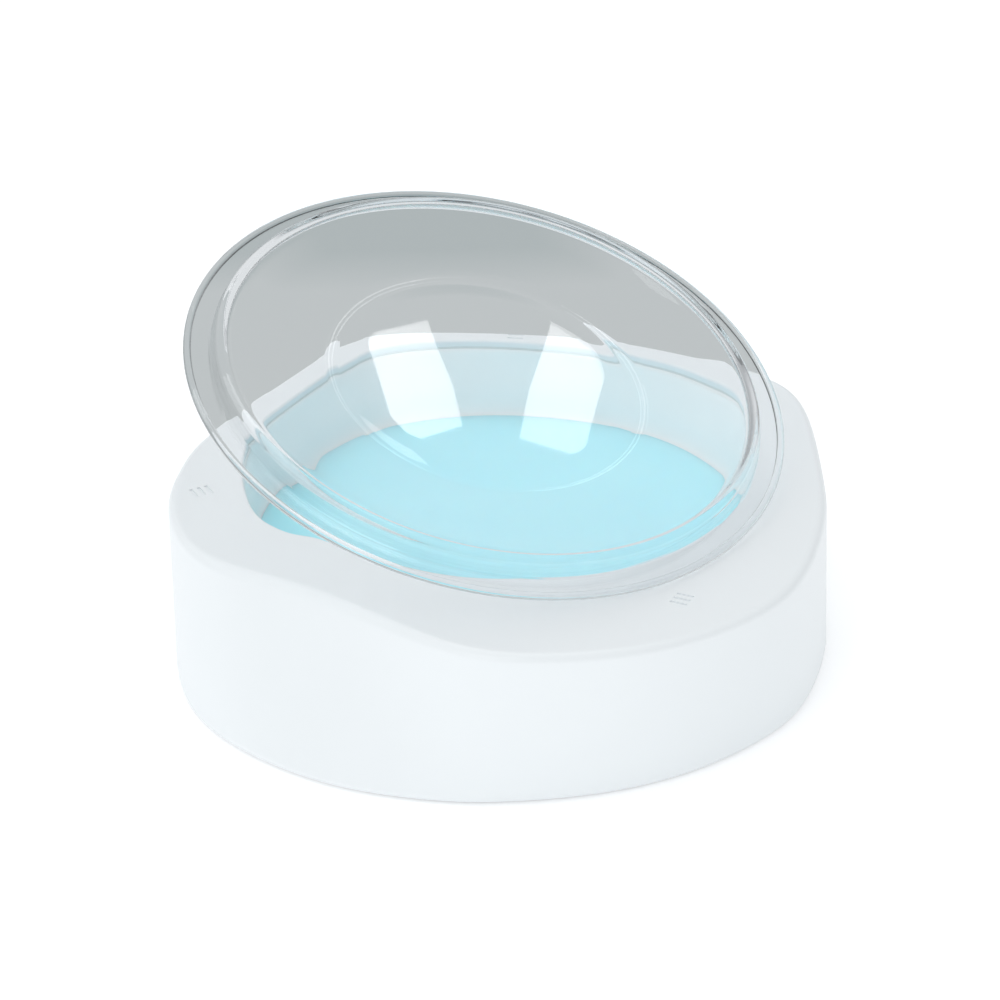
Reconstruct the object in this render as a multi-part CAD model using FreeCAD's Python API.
# Paraffin wax bath: a low moulded housing with a pinched front-left side, a
# coated pan of wax heated from below, and a clear round lid that tips up on
# its front-right edge.
#
# Millimetres, +Z up, +X to the right, -Y to the front, and the floor is z = 0.
# The outlines are drawn about the centre of the front curve of the base. Every
# piece is then moved by MIDDLE, which puts the origin on the floor under the
# middle of the finished object.
import FreeCAD, Part
import math
import os

V = FreeCAD.Vector
UP = V(0, 0, 1)

MIDDLE = (0.4, 25.8)

# ---- housing ----
DECK_Z = 90.0            # flat top of the housing
SKIRT_Z = 2.0            # bottom edge of the housing wall
WALL = 2.6               # moulded wall thickness
EDGE_R = 5.0             # rounding between the wall and the deck
LIP_DEPTH = 4.0          # solid lip round the pan opening
LIP_WIDTH = 4.6
POST_D = 8.0             # screw posts under the deck
POST_BORE = 2.6
POSTS = [(-160, 40), (163, 30), (0, -137), (108, -110), (-134, -38), (-128, 128), (160, 108)]

# Outline of the deck, from the right side round the front.
DECK = [(180, 30), (177, -22), (161, -82), (132, -124), (88, -151), (40, -161), (-5, -157),
        (-40, -138), (-70, -112), (-95, -91), (-120, -74), (-147, -57), (-170, -28),
        (-180, 18), (-175.8, 56), (-164.4, 90), (-135, 136), (-104, 182), (-78, 209),
        (-30, 213), (30, 205), (80, 191), (131, 163), (162, 139.5), (177, 101)]

# Outline of the base, point for point below the deck outline.
BASE = [(180, 26), (178, -18), (163, -70), (137, -107), (97, -137), (48, -155), (0, -160),
        (-36, -157), (-72, -147), (-101, -133), (-128, -113), (-153, -86), (-172, -48),
        (-180, 4), (-177, 50), (-165, 88), (-140, 132), (-110, 170), (-78, 196),
        (-32, 204), (28, 200), (78, 188), (127, 164), (157, 134), (174, 90)]

# Outline of the pan opening in the deck.
RIM = [(143, 40), (134, 0), (112, -34), (75, -63), (30, -79), (-20, -77), (-62, -57),
       (-84, -40), (-98, -29), (-110, -24), (-121, -15), (-131, 0), (-138, 28), (-140, 62),
       (-134, 95), (-113, 135), (-84, 176), (-58, 194), (-15, 198), (40, 188), (92, 167),
       (124, 139), (139, 110), (144, 75)]

# Three moulded bars stand for each mark on the deck: centre and turn.
MARKS = [(-162, 26, 115), (95, -107, -28), (14, 203.5, -8)]
MARK_BAR = (1.8, 9.5)    # width and length of one bar
MARK_PITCH = 4.4
MARK_DEPTH = 0.4

# Clips that hold the pan up against the deck: the rim points that have one beside
# them, and how far outside the rim its screw is.
CLAMP_AT = [2, 4, 6, 11, 13, 23]
CLAMP_OUT = 11.5
CLIP = (8.2, 5.0, 11.0, 1.5)   # reach inwards, reach outwards, width, thickness

# ---- pan and wax ----
BOWL_X, BOWL_Y = 0.0, 43.0     # centre of the pan's floor and of the heater under it
PAN_T = 1.2
PAN_TOP = 84.6                 # upper face of the pan's flange
PAN_FLANGE = 5.0
GASKET_IN, GASKET_OUT = 0.3, 4.6
# Inside of the pan: height, radius, how round it is (0 follows the rim), and how far
# back its centre is.
PAN_STEPS = [(15.0, 68.0, 1.0, 43.0), (16.0, 80.0, 1.0, 43.0), (19.5, 97.0, 1.0, 43.5),
             (27.0, 113.0, 1.0, 46.0), (35.0, 122.0, 1.0, 51.0), (42.0, 135.0, 0.6, 59.0),
             (60.0, 137.5, 0.4, 60.0), (76.0, 139.5, 0.2, 60.0)]
PAN_FLOOR = 15.0
WAX_Z = 42.0
WAX_GAP = 0.05

# ---- heater stack under the pan ----
HEATER_IN, HEATER_OUT, HEATER_T = 30.0, 62.0, 1.6
PLATE_IN, PLATE_OUT, PLATE_T = 28.0, 70.0, 1.2
STUD_R, STUD_D, STUD_LENGTH = 66.0, 4.0, 6.2
STUD_ANGLES = [90.0, 210.0, 330.0]
HEATER_TAB_ANGLE = 122.0
PAD_IN, PAD_OUT = 36.0, 58.0
NUT_FLATS, NUT_T = 7.0, 2.4

THERMOSTAT_X, THERMOSTAT_D = -8.0, 16.0
FUSE_X, FUSE_D, FUSE_LENGTH = 14.0, 3.6, 11.0
BRACKET_Z, BRACKET_T = 5.9, 0.8
LEAD_ANGLE = 135.0             # the way the thermostat's lead comes in
LEAD_SLOT = 6.0

# ---- terminal block and wires ----
BLOCK = (-87.0, -57.0, 145.0, 159.0)
BLOCK_TOP = 17.5
WIRE_D = 2.2
WIRE_LOW = 8.2                 # height of the wires that run along the base

# ---- base ----
PLATE_Z, BASE_T = 3.0, 2.5
PLATE_GAP = 1.0
FEET = {"foot_front_left": (-112, -78), "foot_front_right": (112, -78),
        "foot_rear_left": (-100, 138), "foot_rear_right": (104, 140)}
FOOT_D, STEM_D = 18.0, 8.0
VENT_SIZE = (36.0, 4.0)

# ---- connector bay in the rear wall ----
BAY_Y = 193.0                  # outer face of the bay's panel
BAY_X = (-50.0, 60.0)
BAY_Z = (9.0, 36.0)
BAY_MID = 22.5
INLET_X, SWITCH_X, LAMP_X = -24.0, 22.0, 46.0
CUT_GAP = 0.2                  # round everything that passes through the panel
INLET_BODY = (27.6, 20.0, 20.0)
INLET_FACE = (44.0, 23.0, 2.0)
INLET_EAR = 18.0
SOCKET = (23.6, 15.6, 15.0)
BLADES = [(-7.0, -2.0), (7.0, -2.0), (0.0, 2.5)]
BLADE = (2.0, 4.0)
BLADE_TAB = 6.0
SWITCH_BODY = (19.0, 13.0, 12.0)
SWITCH_FACE = (22.0, 16.0, 1.6)
SWITCH_POCKET = (15.0, 10.8, 8.4)
SWITCH_TABS = (-5.0, 5.0)
ROCKER_W = 14.4
ROCKER_PIVOT = -3.0            # behind the panel's outer face
ROCKER_TILT = 8.0              # half of the rocker's throw, in degrees
# Half of the rocker's side view, outwards from its pivot and up from its middle.
ROCKER_SIDE = [(-2.0, 2.4), (2.4, 4.5), (5.4, 4.2)]
ROCKER_WAIST = 4.2
TRUNNION_D, TRUNNION_BORE = 1.9, 2.0
LENS_TUBE_D, LENS_D, LENS_DEPTH = 7.0, 9.0, 10.0
LAMP_D = 4.0

# ---- lid ----
LID_R = 165.0                  # centre line of the rolled edge
LID_BEAD = 2.2
LID_T = 2.0
LID_WALL_R, LID_SHOULDER_R = 152.0, 149.2
LID_SHOULDER_Z = 12.3
LID_CREASE_R = 84.0
LID_DIRECTION = -43.5          # the way from the lid's centre to its resting edge
LID_TILT = 18.3                # how far it is tipped up
LID_EDGE = (110.0, -71.0)      # where its edge rests
LID_GAP = 0.3                  # between the rolled edge and the deck


def box(x0, x1, y0, y1, z0, z1):
    return Part.makeBox(x1 - x0, y1 - y0, z1 - z0, V(x0, y0, z0))


def rod(x, y, z0, z1, d):
    return Part.makeCylinder(d / 2, z1 - z0, V(x, y, z0), UP)


def ring(x, y, z0, z1, r_in, r_out):
    return rod(x, y, z0, z1, 2 * r_out).cut(rod(x, y, z0, z1, 2 * r_in))


def rod_y(x, z, y0, y1, d):
    return Part.makeCylinder(d / 2, y1 - y0, V(x, y0, z), V(0, 1, 0))


def block_y(x, z, y0, y1, width, height):
    return box(x - width / 2, x + width / 2, y0, y1, z - height / 2, z + height / 2)


def smooth(points):
    """One closed smooth curve through the points, at even steps of its parameter."""
    curve = Part.BSplineCurve()
    curve.interpolate(Points=[V(x, y, 0) for x, y in points], PeriodicFlag=True,
                      Parameters=[float(i) for i in range(len(points) + 1)])
    return curve


def grown(points, amount):
    """The points moved outwards, square to the smooth curve through them."""
    curve = smooth(points)
    out = []
    for i, (x, y) in enumerate(points):
        t = curve.tangent(float(i))[0]
        out.append((x - t.y * amount, y + t.x * amount))
    return out


def clamp_places():
    """Place of each clip's screw, and the way that the clip points away from the pan."""
    places = []
    far = grown(RIM, CLAMP_OUT)
    for i in CLAMP_AT:
        turn = math.degrees(math.atan2(far[i][1] - RIM[i][1], far[i][0] - RIM[i][0]))
        places.append((far[i][0], far[i][1], turn))
    return places


CLAMPS = clamp_places()


def wire_at(points, z):
    wire = Part.Wire(smooth(points).toShape())
    wire.translate(V(0, 0, z))
    return wire


def slab(points, z0, z1):
    return Part.Face(wire_at(points, z0)).extrude(V(0, 0, z1 - z0))


def flat_ring(outer, inner, z0, z1):
    """A flat ring between two closed outlines, closed by four ruled faces."""
    edges = [smooth(points).toShape() for points in (outer, outer, inner, inner)]
    for edge, z in zip(edges, (z0, z1, z1, z0)):
        edge.translate(V(0, 0, z))
    faces = [Part.makeRuledSurface(a, b) for a, b in zip(edges, edges[1:] + edges[:1])]
    return Part.makeSolid(Part.makeShell(faces))


def stack(sections):
    """A solid through closed outlines, each given as (points, z), lowest first."""
    return Part.makeLoft([wire_at(points, z) for points, z in sections], True, True)


def polar(x, y, r, angle):
    a = math.radians(angle)
    return x + r * math.cos(a), y + r * math.sin(a)


def turned_box(x, y, angle, x0, x1, width, z0, z1):
    """A box laid along a direction from a point, from x0 to x1 along it."""
    bar = box(x0, x1, -width / 2, width / 2, z0, z1)
    bar.rotate(V(0, 0, 0), UP, angle)
    bar.translate(V(x, y, 0))
    return bar


def tube(points, d=WIRE_D):
    """An insulated wire on straight runs, with a round joint at each turn."""
    places = [V(*p) for p in points]
    pieces = [Part.makeCylinder(d / 2, (b - a).Length, a, b - a)
              for a, b in zip(places, places[1:])]
    pieces += [Part.makeSphere(d / 2, p) for p in places[1:-1]]
    return pieces[0].multiFuse(pieces[1:]).removeSplitter()


# ---- housing and base ----

def wall_outline(z):
    """Outline of the housing's side at a height, on straight lines from base to deck."""
    k = (z - SKIRT_Z) / (DECK_Z - SKIRT_Z)
    return [(a[0] + (b[0] - a[0]) * k, a[1] + (b[1] - a[1]) * k) for a, b in zip(BASE, DECK)]


def housing_form(inset, z0):
    """The housing's outside, or its hollow when it is made smaller all round."""
    top = DECK_Z - inset
    radius = EDGE_R - inset
    sections = [(grown(wall_outline(z0), -inset), z0)]
    for step in range(5):
        angle = math.radians(90 * step / 4)
        z = top - radius * (1 - math.sin(angle))
        back = inset + radius * (1 - math.cos(angle))
        sections.append((grown(wall_outline(z), -back), z))
    return stack(sections)


def mark_bars(x, y, turn):
    """Three short parallel bars, sunk a little way into the deck."""
    width, length = MARK_BAR
    return [turned_box(*polar(x, y, k * MARK_PITCH, turn + 90), turn, -length / 2, length / 2,
                       width, DECK_Z - MARK_DEPTH, DECK_Z + 1) for k in (-1, 0, 1)]


def housing_shell():
    outside = housing_form(0, SKIRT_Z)
    shell = outside.cut(housing_form(WALL, SKIRT_Z - 1))
    under_deck = DECK_Z - WALL / 2
    lip = slab(grown(RIM, LIP_WIDTH), DECK_Z - LIP_DEPTH, under_deck)
    bay = box(BAY_X[0] - WALL, BAY_X[1] + WALL, BAY_Y - WALL, BAY_Y + 40,
              BAY_Z[0] - WALL, BAY_Z[1] + WALL).common(outside)
    posts = [rod(x, y, PLATE_Z + BASE_T, under_deck, POST_D) for x, y in POSTS]
    posts += [rod(x, y, PAN_TOP - PAN_T, under_deck, POST_D) for x, y, turn in CLAMPS]
    for piece in [lip, bay] + posts:
        shell = shell.fuse(piece)
    cutters = [slab(RIM, DECK_Z - 20, DECK_Z + 5),
               box(BAY_X[0], BAY_X[1], BAY_Y, BAY_Y + 40, BAY_Z[0], BAY_Z[1]),
               rod_y(LAMP_X, BAY_MID, BAY_Y - 10, BAY_Y + 1, LENS_TUBE_D + 2 * CUT_GAP)]
    for x, size in ((INLET_X, INLET_BODY), (SWITCH_X, SWITCH_BODY)):
        cutters.append(block_y(x, BAY_MID, BAY_Y - 10, BAY_Y + 1,
                               size[0] + 2 * CUT_GAP, size[1] + 2 * CUT_GAP))
    cutters += [rod_y(INLET_X + side * INLET_EAR, BAY_MID, BAY_Y - 10, BAY_Y + 1, 3.0)
                for side in (-1, 1)]
    cutters += [rod(x, y, PLATE_Z, PLATE_Z + 22, POST_BORE) for x, y in POSTS]
    cutters += [rod(x, y, PAN_TOP - 3, DECK_Z - 2.2, POST_BORE) for x, y, turn in CLAMPS]
    for x, y, turn in MARKS:
        cutters += mark_bars(x, y, turn)
    for cutter in cutters:
        shell = shell.cut(cutter)
    return shell


def base_plate():
    z1 = PLATE_Z + BASE_T
    plate = slab(grown(wall_outline(PLATE_Z + BASE_T / 2), -WALL - PLATE_GAP), PLATE_Z, z1)
    holes = [rod(x, y, PLATE_Z - 1, z1 + 1, POST_BORE + 0.8) for x, y in POSTS]
    holes += [rod(x, y, PLATE_Z - 1, z1 + 1, STEM_D + 0.1) for x, y in FEET.values()]
    for row in range(4):
        for side in (-1, 1):
            x = side * (VENT_SIZE[0] / 2 + 8)
            y = -84 + row * 10
            holes.append(box(x - VENT_SIZE[0] / 2, x + VENT_SIZE[0] / 2,
                             y - VENT_SIZE[1] / 2, y + VENT_SIZE[1] / 2, PLATE_Z - 1, z1 + 1))
    return plate.cut(Part.makeCompound(holes))


def screw_up(x, y, seat, length, d, head_d, head_t):
    """A screw driven upwards, its head below the seat."""
    return rod(x, y, seat - head_t, seat, head_d).fuse(rod(x, y, seat, seat + length, d))


def base_screws():
    return Part.makeCompound([screw_up(x, y, PLATE_Z, 20.0, 2.5, 7.0, 1.8) for x, y in POSTS])


def foot(x, y):
    top = PLATE_Z + BASE_T
    pieces = [rod(x, y, 0, PLATE_Z, FOOT_D), rod(x, y, PLATE_Z, top, STEM_D),
              rod(x, y, top, top + 1.0, STEM_D + 1.6)]
    body = pieces[0].multiFuse(pieces[1:])
    lower = [edge for edge in body.Edges if edge.BoundBox.ZMax < 0.01]
    return body.makeFillet(0.8, lower)


# ---- pan, wax and what holds them ----

def bowl_points(radius, roundness, middle):
    """The rim's outline drawn towards a circle, about a point on the pan's middle line."""
    reach = [math.hypot(x - BOWL_X, y - middle) for x, y in RIM]
    mean = sum(reach) / len(reach)
    points = []
    for (x, y), r in zip(RIM, reach):
        k = (radius + (r - mean) * (1 - roundness)) / r
        points.append((BOWL_X + (x - BOWL_X) * k, middle + (y - middle) * k))
    return points


def bowl_form(extra, floor, steps):
    """The pan's form, bigger all round by extra, with its floor at a height."""
    sections = [(bowl_points(r + extra, k, middle), z) for z, r, k, middle in steps]
    sections[0] = (sections[0][0], floor)
    return sections


def pan():
    rim = grown(RIM, -0.4)
    flange = slab(grown(RIM, PAN_FLANGE), PAN_TOP - PAN_T, PAN_TOP)
    outside = stack(bowl_form(PAN_T, PAN_FLOOR - PAN_T, PAN_STEPS)
                    + [(grown(RIM, PAN_T - 0.4), PAN_TOP)])
    inside = stack(bowl_form(0, PAN_FLOOR, PAN_STEPS) + [(rim, PAN_TOP), (rim, PAN_TOP + 2)])
    studs = [rod(*polar(BOWL_X, BOWL_Y, STUD_R, a), PAN_FLOOR - PAN_T - STUD_LENGTH,
                 PAN_FLOOR - PAN_T / 2, STUD_D) for a in STUD_ANGLES]
    body = outside.fuse(flange)
    for stud in studs:
        body = body.fuse(stud)
    return body.cut(inside)


def paraffin_wax():
    low = [step for step in PAN_STEPS if step[0] <= WAX_Z]
    return stack(bowl_form(-WAX_GAP, PAN_FLOOR + WAX_GAP, low))


def pan_gasket():
    return flat_ring(grown(RIM, GASKET_OUT), grown(RIM, GASKET_IN), PAN_TOP, DECK_Z - LIP_DEPTH)


def pan_clamps():
    inner, outer, width, thick = CLIP
    top = PAN_TOP - PAN_T
    return Part.makeCompound([
        turned_box(x, y, turn, -inner, outer, width, top - thick, top).cut(
            rod(x, y, top - thick - 1, top + 1, 3.0)) for x, y, turn in CLAMPS])


def clamp_screws():
    seat = PAN_TOP - PAN_T - CLIP[3]
    return Part.makeCompound([screw_up(x, y, seat, 5.4, 2.5, 6.0, 2.0) for x, y, turn in CLAMPS])


# ---- heater stack ----

HEATER_Z = PAN_FLOOR - PAN_T - HEATER_T
PLATE_BOTTOM = HEATER_Z - PLATE_T
WASHER_T = 0.8


def heater_mat():
    mat = ring(BOWL_X, BOWL_Y, HEATER_Z, HEATER_Z + HEATER_T, HEATER_IN, HEATER_OUT)
    tab = turned_box(BOWL_X, BOWL_Y, HEATER_TAB_ANGLE, HEATER_OUT - 2, HEATER_OUT + 12, 9.0,
                     HEATER_Z, HEATER_Z + HEATER_T)
    return mat.fuse(tab)


def heater_plate():
    plate = ring(BOWL_X, BOWL_Y, PLATE_BOTTOM, HEATER_Z, PLATE_IN, PLATE_OUT)
    holes = [rod(*polar(BOWL_X, BOWL_Y, STUD_R, a), PLATE_BOTTOM - 1, HEATER_Z + 1, STUD_D + 0.4)
             for a in STUD_ANGLES]
    return plate.cut(Part.makeCompound(holes))


def washer(angle):
    x, y = polar(BOWL_X, BOWL_Y, STUD_R, angle)
    return ring(x, y, PLATE_BOTTOM - WASHER_T, PLATE_BOTTOM, STUD_D / 2 + 0.2, 4.2)


def plate_washers():
    return Part.makeCompound([washer(a) for a in STUD_ANGLES[1:]])


def earth_tag():
    """A ring terminal under the rear nut, with its barrel pointing to the rear."""
    x, y = polar(BOWL_X, BOWL_Y, STUD_R, STUD_ANGLES[0])
    blade = box(x - 2.5, x + 2.5, y + 3, y + 12, PLATE_BOTTOM - WASHER_T, PLATE_BOTTOM)
    blade = blade.cut(rod(x, y, 0, 20, STUD_D + 0.4))
    return washer(STUD_ANGLES[0]).fuse(blade)


def plate_nuts():
    nuts = []
    top = PLATE_BOTTOM - WASHER_T
    for a in STUD_ANGLES:
        x, y = polar(BOWL_X, BOWL_Y, STUD_R, a)
        corners = [V(*polar(x, y, NUT_FLATS / math.sqrt(3), k * 60), top - NUT_T) for k in range(7)]
        prism = Part.Face(Part.makePolygon(corners)).extrude(V(0, 0, NUT_T))
        nuts.append(prism.cut(rod(x, y, 0, 20, STUD_D + 0.1)))
    return Part.makeCompound(nuts)


def insulation_pad():
    pad = ring(BOWL_X, BOWL_Y, PLATE_Z + BASE_T, PLATE_BOTTOM, PAD_IN, PAD_OUT)
    slot = turned_box(BOWL_X, BOWL_Y, LEAD_ANGLE, 0, 90, LEAD_SLOT, 0, 20)
    return pad.cut(slot)


def thermostat():
    z0 = BRACKET_Z + BRACKET_T
    can = rod(THERMOSTAT_X, BOWL_Y, z0, PAN_FLOOR - PAN_T, THERMOSTAT_D)
    tab = turned_box(THERMOSTAT_X, BOWL_Y, LEAD_ANGLE, THERMOSTAT_D / 2 - 1, THERMOSTAT_D / 2 + 5,
                     4.0, WIRE_LOW - 0.4, WIRE_LOW + 0.4)
    return can.fuse(tab)


def thermostat_bracket():
    z1 = BRACKET_Z + BRACKET_T
    bar = box(-33, 33, BOWL_Y - 5, BOWL_Y + 5, BRACKET_Z, z1)
    legs = [box(s * 31.5 - 1.5, s * 31.5 + 1.5, BOWL_Y - 5, BOWL_Y + 5, z1, PLATE_BOTTOM)
            for s in (-1, 1)]
    return bar.multiFuse(legs)


def fuse_axis_z():
    return PAN_FLOOR - PAN_T - FUSE_D / 2 - 0.1


def thermal_fuse():
    return Part.makeCylinder(FUSE_D / 2, FUSE_LENGTH,
                             V(FUSE_X - FUSE_LENGTH / 2, BOWL_Y, fuse_axis_z()), V(1, 0, 0))


def fuse_clip():
    saddle = box(FUSE_X - 3, FUSE_X + 3, BOWL_Y - 3.5, BOWL_Y + 3.5, BRACKET_Z + BRACKET_T,
                 fuse_axis_z())
    return saddle.cut(Part.makeCylinder(FUSE_D / 2, 20, V(FUSE_X - 10, BOWL_Y, fuse_axis_z()),
                                        V(1, 0, 0)))


# ---- terminal block and wires ----

BLOCK_SCREWS = [(x, y) for x in (-80, -72, -64) for y in (148, 156)]


def terminal_block():
    x0, x1, y0, y1 = BLOCK
    block = box(x0, x1, y0, y1, PLATE_Z + BASE_T, BLOCK_TOP)
    wells = [rod(x, y, BLOCK_TOP - 3, BLOCK_TOP + 1, 4.4) for x, y in BLOCK_SCREWS]
    return block.cut(Part.makeCompound(wells))


def terminal_screws():
    return Part.makeCompound([rod(x, y, BLOCK_TOP - 3, BLOCK_TOP - 0.8, 3.6)
                              for x, y in BLOCK_SCREWS])


def wires():
    """Each wire's route, end to end, from one terminal face to the next."""
    tab_y = BAY_Y - INLET_BODY[2] - BLADE_TAB
    switch_y = BAY_Y - SWITCH_BODY[2] - BLADE_TAB
    x0, x1, y0, y1 = BLOCK
    (live_x, low), (neutral_x, low), (earth_x, high) = BLADES
    live_x, neutral_x, earth_x = INLET_X + live_x, INLET_X + neutral_x, INLET_X + earth_x
    low, high = BAY_MID + low, BAY_MID + high
    switch_x = SWITCH_X + SWITCH_TABS[0]
    stat_far, stat_near = [polar(THERMOSTAT_X, BOWL_Y, THERMOSTAT_D / 2 + r, LEAD_ANGLE)
                           + (WIRE_LOW,) for r in (11, 5)]
    slot_far, slot_near = [polar(BOWL_X, BOWL_Y, r, LEAD_ANGLE) + (WIRE_LOW,) for r in (72, 34)]
    tab_far, tab_near = [polar(BOWL_X, BOWL_Y, HEATER_OUT + r, HEATER_TAB_ANGLE)
                         + (HEATER_Z + HEATER_T / 2,) for r in (18, 12)]
    start = tab_y - 6
    return {
        "wire_live": [(live_x, tab_y, low), (live_x, start, low), (-42, 151, 12.5),
                      (x1 + 6, 149, 12.5), (x1, 149, 12.5)],
        "wire_neutral": [(neutral_x, tab_y, low), (neutral_x, start, low), (-24, 157, 9),
                         (x1 + 6, 155, 9), (x1, 155, 9)],
        "wire_earth": [(earth_x, tab_y, high), (earth_x, start, high), (-13, 150, 14),
                       (0, 129, PLATE_BOTTOM - WASHER_T / 2),
                       (0, 121, PLATE_BOTTOM - WASHER_T / 2)],
        "wire_switch": [(switch_x, switch_y, BAY_MID), (switch_x, switch_y - 5, BAY_MID),
                        (9, 171, 10), (-40, 172, WIRE_LOW), (-66, 167, 12), (-66, y1, 12)],
        "wire_heater": [(-70, y0, 11), (-70, y0 - 6, 11), (-56, 120, 11), tab_far, tab_near],
        "wire_thermostat": [(-80, y0, 10), (-80, y0 - 6, 10), slot_far, slot_near,
                            stat_far, stat_near],
    }


# ---- what sits in the connector bay ----

def inlet_body():
    width, height, depth = INLET_BODY
    face = block_y(INLET_X, BAY_MID, BAY_Y, BAY_Y + INLET_FACE[2], INLET_FACE[0], INLET_FACE[1])
    body = block_y(INLET_X, BAY_MID, BAY_Y - depth, BAY_Y, width, height)
    socket = block_y(INLET_X, BAY_MID, BAY_Y + INLET_FACE[2] - SOCKET[2] - 2, BAY_Y + 10,
                     SOCKET[0], SOCKET[1])
    upright = [edge for edge in socket.Edges
               if edge.BoundBox.YLength > 5 and edge.BoundBox.ZMin > BAY_MID]
    socket = socket.makeChamfer(4.0, upright)
    cutters = [socket]
    cutters += [block_y(INLET_X + x, BAY_MID + z, BAY_Y - depth - 1, BAY_Y, BLADE[0], BLADE[1])
                for x, z in BLADES]
    cutters += [rod_y(INLET_X + s * INLET_EAR, BAY_MID, BAY_Y - 1, BAY_Y + 10, 3.2)
                for s in (-1, 1)]
    return face.fuse(body).cut(Part.makeCompound(cutters))


def inlet_blades():
    back = BAY_Y - INLET_BODY[2] - BLADE_TAB
    return Part.makeCompound([
        block_y(INLET_X + x, BAY_MID + z, back, BAY_Y, BLADE[0], BLADE[1]) for x, z in BLADES])


def inlet_screws():
    seat = BAY_Y + INLET_FACE[2]
    screws = []
    for s in (-1, 1):
        x = INLET_X + s * INLET_EAR
        screws.append(rod_y(x, BAY_MID, seat, seat + 1.6, 5.6).fuse(
            rod_y(x, BAY_MID, seat - 9, seat, 2.8)))
    return Part.makeCompound(screws)


def switch_body():
    width, height, depth = SWITCH_BODY
    face = block_y(SWITCH_X, BAY_MID, BAY_Y, BAY_Y + SWITCH_FACE[2], SWITCH_FACE[0], SWITCH_FACE[1])
    body = block_y(SWITCH_X, BAY_MID, BAY_Y - depth, BAY_Y, width, height)
    pocket = block_y(SWITCH_X, BAY_MID, BAY_Y - SWITCH_POCKET[2], BAY_Y + 10,
                     SWITCH_POCKET[0], SWITCH_POCKET[1])
    bore = Part.makeCylinder(TRUNNION_BORE / 2, 18.2,
                             V(SWITCH_X - 9.1, BAY_Y + ROCKER_PIVOT, BAY_MID), V(1, 0, 0))
    return face.fuse(body).cut(pocket).cut(bore)


def switch_terminals():
    back = BAY_Y - SWITCH_BODY[2]
    return Part.makeCompound([block_y(SWITCH_X + x, BAY_MID, back - BLADE_TAB, back, 0.8, 4.8)
                              for x in SWITCH_TABS])


def switch_rocker():
    """The rocker in its off position, on two trunnions."""
    side = [(y, -z) for y, z in ROCKER_SIDE] + [(ROCKER_WAIST, 0)]
    side += [(y, z) for y, z in reversed(ROCKER_SIDE)]
    x0 = SWITCH_X - ROCKER_W / 2
    pivot_y = BAY_Y + ROCKER_PIVOT
    corners = [V(x0, pivot_y + y, BAY_MID + z) for y, z in side + side[:1]]
    rocker = Part.Face(Part.makePolygon(corners)).extrude(V(ROCKER_W, 0, 0))
    trunnions = Part.makeCylinder(TRUNNION_D / 2, ROCKER_W + 3.2,
                                  V(x0 - 1.6, pivot_y, BAY_MID), V(1, 0, 0))
    rocker = rocker.fuse(trunnions)
    rocker.rotate(V(SWITCH_X, pivot_y, BAY_MID), V(1, 0, 0), ROCKER_TILT)
    return rocker


def indicator_lens():
    collar = rod_y(LAMP_X, BAY_MID, BAY_Y, BAY_Y + 1.2, LENS_D)
    dome = Part.makeSphere(5.2, V(LAMP_X, BAY_Y - 1.6, BAY_MID)).common(
        block_y(LAMP_X, BAY_MID, BAY_Y + 1.2, BAY_Y + 10, 20, 20))
    stem = rod_y(LAMP_X, BAY_MID, BAY_Y - LENS_DEPTH, BAY_Y, LENS_TUBE_D)
    hollow = rod_y(LAMP_X, BAY_MID, BAY_Y - LENS_DEPTH - 1, BAY_Y - 0.5, LAMP_D + 0.8)
    return collar.fuse(dome).fuse(stem).cut(hollow)


def lamp_holder():
    back = BAY_Y - LENS_DEPTH
    return rod_y(LAMP_X, BAY_MID, back - 4, back, LENS_TUBE_D + 1.4)


def indicator_lamp():
    back = BAY_Y - LENS_DEPTH
    bulb = rod_y(LAMP_X, BAY_MID, back, back + 6, LAMP_D)
    return bulb.fuse(Part.makeSphere(LAMP_D / 2, V(LAMP_X, back + 6, BAY_MID)))


# ---- lid ----

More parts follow.
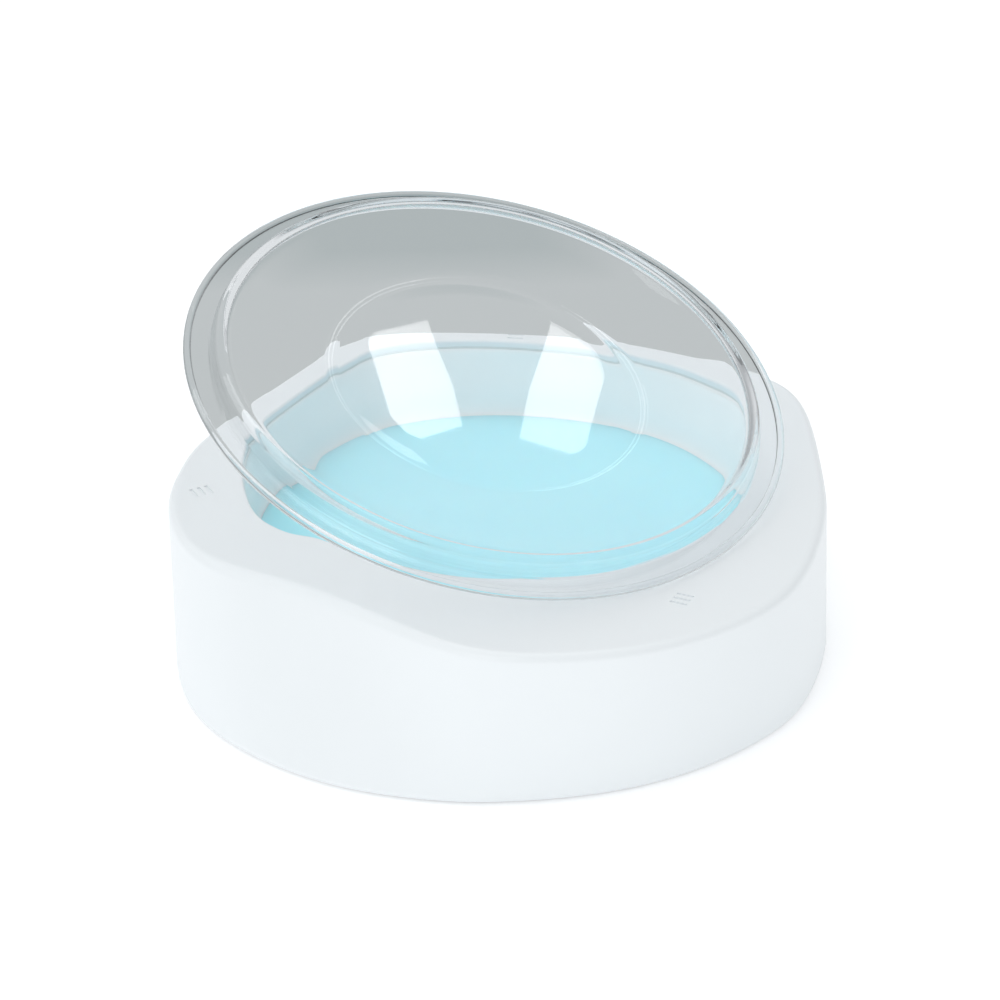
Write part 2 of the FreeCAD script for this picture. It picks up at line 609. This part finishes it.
def lid_closed():
    """The lid turned about its own axis, lying level with its edge at z = 0."""
    half = LID_T / 2
    neck = LID_R - math.sqrt(LID_BEAD ** 2 - half ** 2)
    below = [(0, 3.0 - half), (LID_CREASE_R - 4, 2.6 - half), (LID_CREASE_R, 1.2 - half),
             (LID_SHOULDER_R - 16, 8.0 - half), (LID_SHOULDER_R - 3, LID_SHOULDER_Z - 3.4),
             (LID_WALL_R - half, 1.2), (LID_WALL_R - half, -half), (neck, -half)]
    above = [(neck, half), (LID_WALL_R + half, half), (LID_SHOULDER_R + half, LID_SHOULDER_Z - 2.4),
             (LID_SHOULDER_R - 2, LID_SHOULDER_Z), (LID_SHOULDER_R - 5, LID_SHOULDER_Z - 0.6),
             (LID_SHOULDER_R - 17, 8.0 + half), (LID_CREASE_R + 1, 1.2 + half),
             (LID_CREASE_R - 3, 2.8 + half), (0, 3.2 + half)]
    low = [V(r, 0, z) for r, z in below]
    high = [V(r, 0, z) for r, z in above]
    bead = Part.Arc(low[-1], V(LID_R + LID_BEAD, 0, 0), high[0]).toShape()
    edges = Part.makePolygon(low).Edges + [bead] + Part.makePolygon(high + low[:1]).Edges
    return Part.Face(Part.Wire(edges)).revolve(V(0, 0, 0), UP, 360)


def lid():
    """The lid tipped up about the line where its edge rests."""
    edge_z = DECK_Z + LID_GAP + LID_BEAD
    x, y = polar(LID_EDGE[0], LID_EDGE[1], -LID_R, LID_DIRECTION)
    body = lid_closed()
    body.translate(V(x, y, edge_z))
    a = math.radians(LID_DIRECTION)
    body.rotate(V(LID_EDGE[0], LID_EDGE[1], edge_z), V(-math.sin(a), math.cos(a), 0), LID_TILT)
    return body


def main():
    makers = [housing_shell, base_plate, base_screws, pan, pan_gasket, pan_clamps, clamp_screws,
              paraffin_wax, heater_mat, heater_plate, plate_washers, plate_nuts, insulation_pad,
              thermostat, thermostat_bracket, thermal_fuse, fuse_clip, terminal_block,
              terminal_screws, earth_tag, inlet_body, inlet_blades, inlet_screws, switch_body,
              switch_terminals, switch_rocker, indicator_lens, lamp_holder, indicator_lamp, lid]
    nodes = {make.__name__: make() for make in makers}
    nodes.update({name: foot(x, y) for name, (x, y) in FEET.items()})
    nodes.update({name: tube(points) for name, points in wires().items()})
    os.makedirs("parts", exist_ok=True)
    for name, shape in nodes.items():
        shape.translate(V(-MIDDLE[0], -MIDDLE[1], 0))
        shape.exportStep("parts/" + name + ".step")
        print(name, len(shape.Solids), "solid(s)", round(shape.Volume / 1000, 2), "cm3",
              "ok" if shape.isValid() else "BAD")


main()
